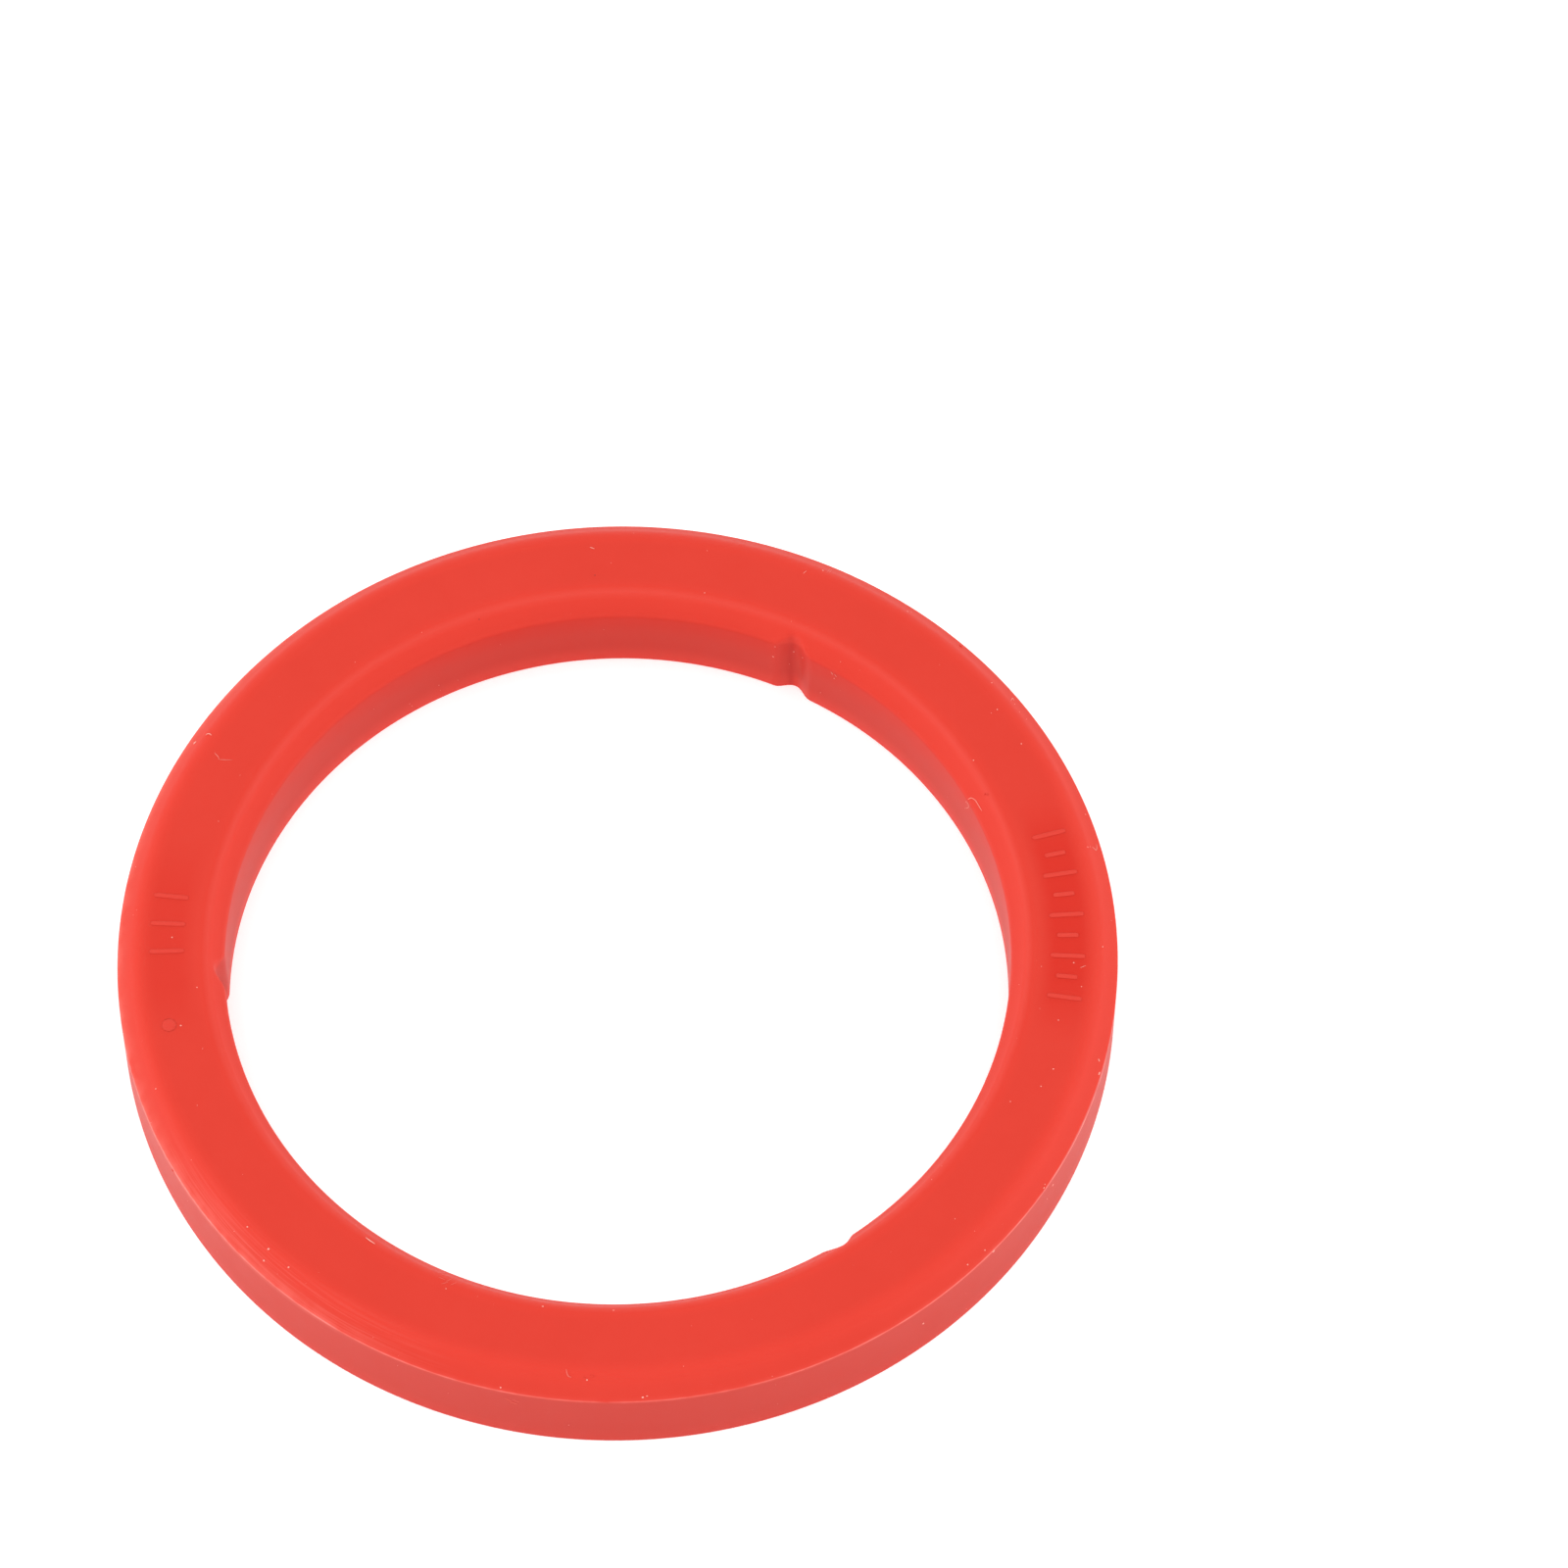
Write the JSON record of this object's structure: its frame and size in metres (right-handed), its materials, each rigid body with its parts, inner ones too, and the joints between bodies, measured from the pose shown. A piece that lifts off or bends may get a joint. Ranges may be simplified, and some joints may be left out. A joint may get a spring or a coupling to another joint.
{
  "type": "group head gasket",
  "caption": "Flat moulded silicone ring with chamfered upper edges and shallow release grooves in its bore, seals a brewing head against its filter holder.",
  "frame": {"origin": "centre of the ring, in the plane of its flat underside", "axes": "+Z along the ring's axis, from the flat underside to the chamfered face; +X to the right in the reference view"},
  "size_m": [0.073, 0.073, 0.008],
  "materials": {
    "silicone": "satin moulded silicone rubber"
  },
  "bodies": {
    "root": {"gasket_ring": "silicone"}
  },
  "joints": []
}
